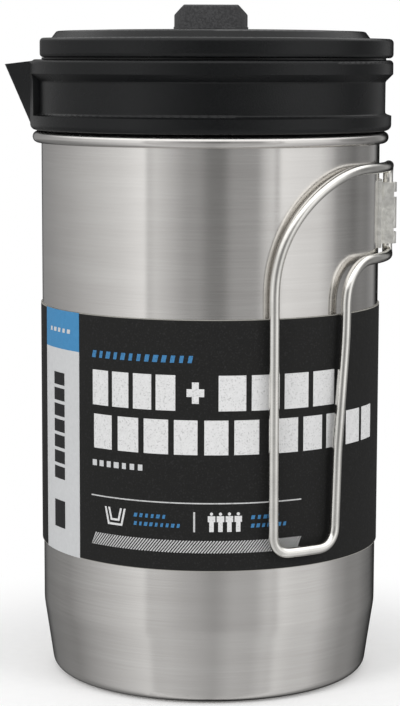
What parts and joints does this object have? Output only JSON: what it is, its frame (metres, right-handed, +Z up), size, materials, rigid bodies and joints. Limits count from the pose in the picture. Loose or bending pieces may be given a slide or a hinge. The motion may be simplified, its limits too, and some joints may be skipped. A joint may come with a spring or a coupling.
{
  "type": "camping press pot",
  "caption": "Stainless steel camping press pot with a folding wire handle, a paper sleeve, a black press-in lid with a pour spout, and a plunger with a mesh filter.",
  "frame": {"origin": "centre of the pot's flat underside, where it stands", "axes": "+Z up along the pot and the plunger's rod, -X towards the pour spout, +X towards the handle's hinge, the folded handle lies on the -Y side"},
  "size_m": [0.1162, 0.1074, 0.1977],
  "materials": {
    "pot_steel": "brushed round the pot, satin",
    "bracket_steel": "pressed sheet, satin",
    "wire_steel": "drawn wire, polished",
    "sleeve_paper": "printed wrap, satin",
    "lid_plastic": "fine grained, satin black",
    "knob_plastic": "fine grained, satin black",
    "bushing_plastic": "plain, smooth",
    "silicone": "matte",
    "brass": "turned",
    "rod_steel": "ground, polished",
    "filter_steel": "pressed sheet, satin",
    "filter_mesh_steel": "woven wire cloth",
    "fastener_steel": "turned"
  },
  "bodies": {
    "pot": {"pot_shell": "pot_steel", "label_sleeve": "sleeve_paper", "bracket_saddle": "bracket_steel", "handle_bracket": "bracket_steel"},
    "handle": {"handle_wire": "wire_steel"},
    "seal": {"lid_seal": "silicone"},
    "lid": {"lid_collar": "lid_plastic", "lid_cap": "lid_plastic", "rod_bushing": "bushing_plastic"},
    "plunger": {"plunger_knob": "knob_plastic", "knob_insert": "brass", "plunger_rod": "rod_steel", "filter_top_plate": "filter_steel", "filter_mesh": "filter_mesh_steel", "filter_base_plate": "filter_steel", "filter_wiper": "silicone", "filter_washer": "fastener_steel", "filter_nut": "fastener_steel"}
  },
  "joints": [
    {"name": "handle_swing", "type": "hinge", "parent": "pot", "child": "handle", "pos_m": [0.05275, 0, 0.13685], "axis": [0, 0, 1], "range_deg": [0, 115]},
    {"name": "lid_lift", "type": "slide", "parent": "pot", "child": "seal", "axis": [0, 0, 1], "range_m": [0, 0.16]},
    {"name": "lid_turn", "type": "hinge", "parent": "seal", "child": "lid", "pos_m": [0, 0, 0.1553], "axis": [0, 0, 1], "continuous": true},
    {"name": "plunger_slide", "type": "slide", "parent": "lid", "child": "plunger", "axis": [0, 0, 1], "range_m": [0, 0.12]}
  ]
}
